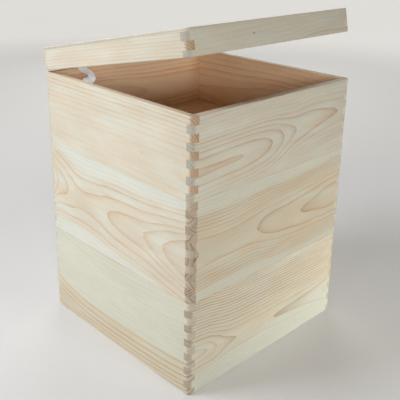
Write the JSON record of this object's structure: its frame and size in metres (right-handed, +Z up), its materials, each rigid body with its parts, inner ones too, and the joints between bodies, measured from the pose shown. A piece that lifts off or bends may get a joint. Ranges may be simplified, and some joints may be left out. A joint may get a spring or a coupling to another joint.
{
  "type": "potato storage bin",
  "caption": "Tall square finger-jointed pine bin with a rear-hinged lid standing ajar, a ribbon lid stay and a lift-out shelf inside.",
  "frame": {"origin": "middle of the bin's underside, on the surface it stands on; the lid's hinges reach past the back, so the origin is the walls' middle and not the whole box's", "axes": "+X to the right seen from the front, +Y to the hinged back, +Z up"},
  "size_m": [0.3, 0.3066, 0.4624],
  "materials": {
    "pine": "raw sanded pine boards",
    "plywood": "raw sanded thin plywood",
    "zinc_steel": "zinc-plated steel",
    "nickel_steel": "nickel-plated dome",
    "satin_ribbon": "white satin ribbon"
  },
  "bodies": {
    "carcass": {"bottom_ring_front_board": "pine", "bottom_ring_back_board": "pine", "bottom_ring_left_board": "pine", "bottom_ring_right_board": "pine", "middle_ring_front_board": "pine", "middle_ring_back_board": "pine", "middle_ring_left_board": "pine", "middle_ring_right_board": "pine", "top_ring_front_board": "pine", "top_ring_back_board": "pine", "top_ring_left_board": "pine", "top_ring_right_board": "pine", "base_panel": "plywood", "shelf_ledge_left": "pine", "shelf_ledge_right": "pine", "left_hinge_body_leaf": "zinc_steel", "right_hinge_body_leaf": "zinc_steel", "left_hinge_pin": "zinc_steel", "right_hinge_pin": "zinc_steel", "hinge_body_screws": "zinc_steel", "stay_body_tack": "nickel_steel", "stay_ribbon": "satin_ribbon"},
    "lid": {"lid_front_rail": "pine", "lid_back_rail": "pine", "lid_left_rail": "pine", "lid_right_rail": "pine", "lid_top_panel": "plywood", "left_hinge_lid_leaf": "zinc_steel", "right_hinge_lid_leaf": "zinc_steel", "hinge_lid_screws": "zinc_steel", "stay_lid_tack": "nickel_steel"},
    "shelf": {"shelf_panel": "plywood"}
  },
  "joints": [
    {"name": "lid_hinge", "type": "hinge", "parent": "carcass", "child": "lid", "pos_m": [0, 0.1525, 0.3674], "axis": [-1, 0, 0], "range_deg": [-12.2, 82.8], "deforming": ["stay_ribbon"]},
    {"name": "shelf_lift", "type": "slide", "parent": "carcass", "child": "shelf", "axis": [0, 0, 1], "range_m": [0, 0.033]}
  ]
}
